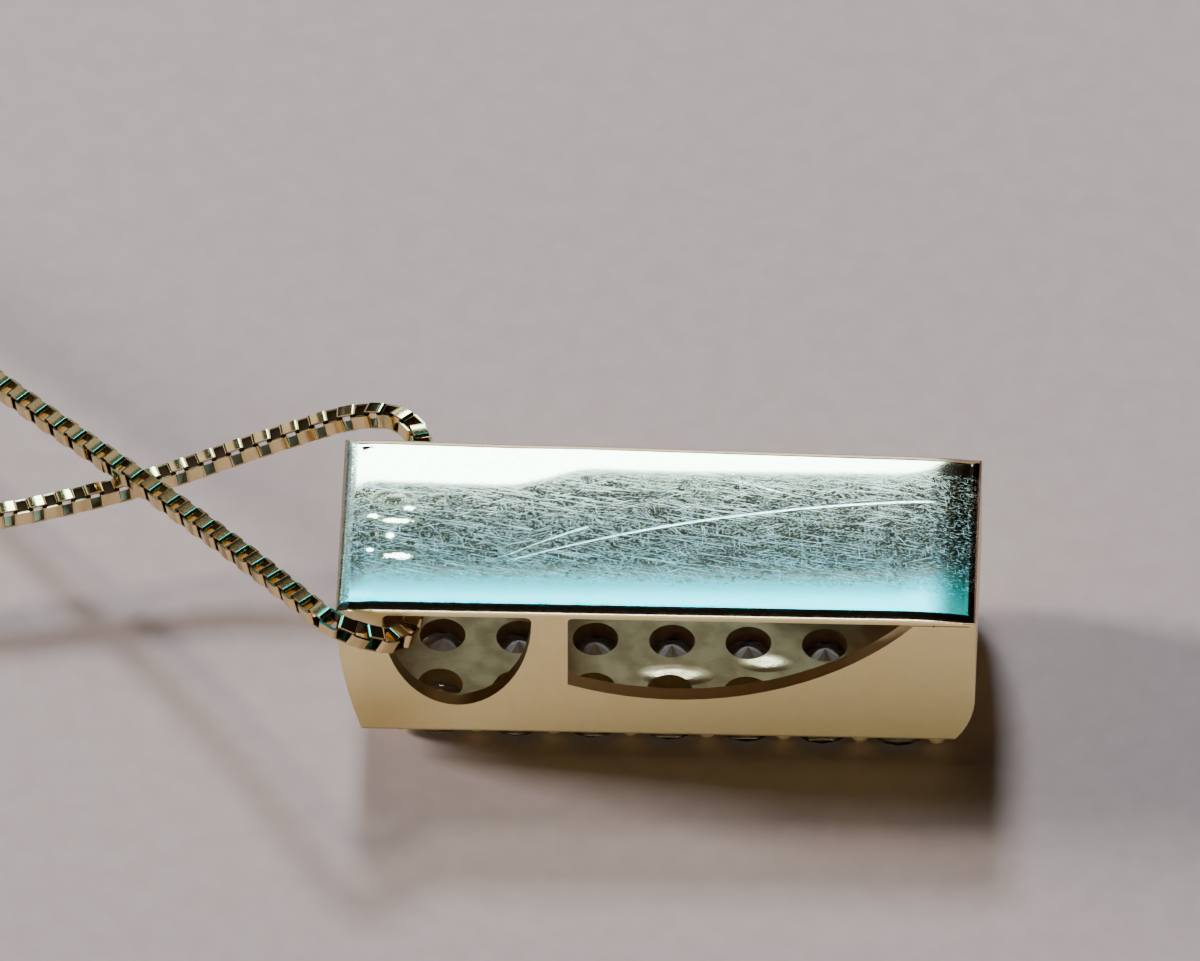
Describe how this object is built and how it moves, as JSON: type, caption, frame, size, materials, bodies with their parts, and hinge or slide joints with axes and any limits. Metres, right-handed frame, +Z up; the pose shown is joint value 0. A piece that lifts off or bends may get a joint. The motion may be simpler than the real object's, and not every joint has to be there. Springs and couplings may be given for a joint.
{
  "type": "slide pendant on a box chain",
  "caption": "Gold box pendant set with rows of round stones, lying face down, with a fine box chain threaded crosswise through its end windows.",
  "frame": {"origin": "middle of the pendant's length and width, at the level of the stones' tables that it rests on", "axes": "+X along the pendant towards its foot, with the chain leaving towards -X; +Y across it; +Z up from the stones' tables to the back plate"},
  "size_m": [0.1701, 0.0945, 0.0066],
  "materials": {
    "frame_gold": "polished back, satin sides",
    "chain_gold": "polished",
    "clasp_gold": "polished",
    "stone": "cut and polished"
  },
  "bodies": {
    "root": {"frame": "frame_gold", "stone_1_1": "stone", "stone_1_2": "stone", "stone_1_3": "stone", "stone_1_4": "stone", "stone_1_5": "stone", "stone_1_6": "stone", "stone_1_7": "stone", "stone_2_1": "stone", "stone_2_2": "stone", "stone_2_3": "stone", "stone_2_4": "stone", "stone_2_5": "stone", "stone_2_6": "stone", "stone_2_7": "stone", "stone_3_1": "stone", "stone_3_2": "stone", "stone_3_3": "stone", "stone_3_4": "stone", "stone_3_5": "stone", "stone_3_6": "stone", "stone_3_7": "stone", "chain": "chain_gold", "clasp": "clasp_gold"}
  },
  "joints": []
}
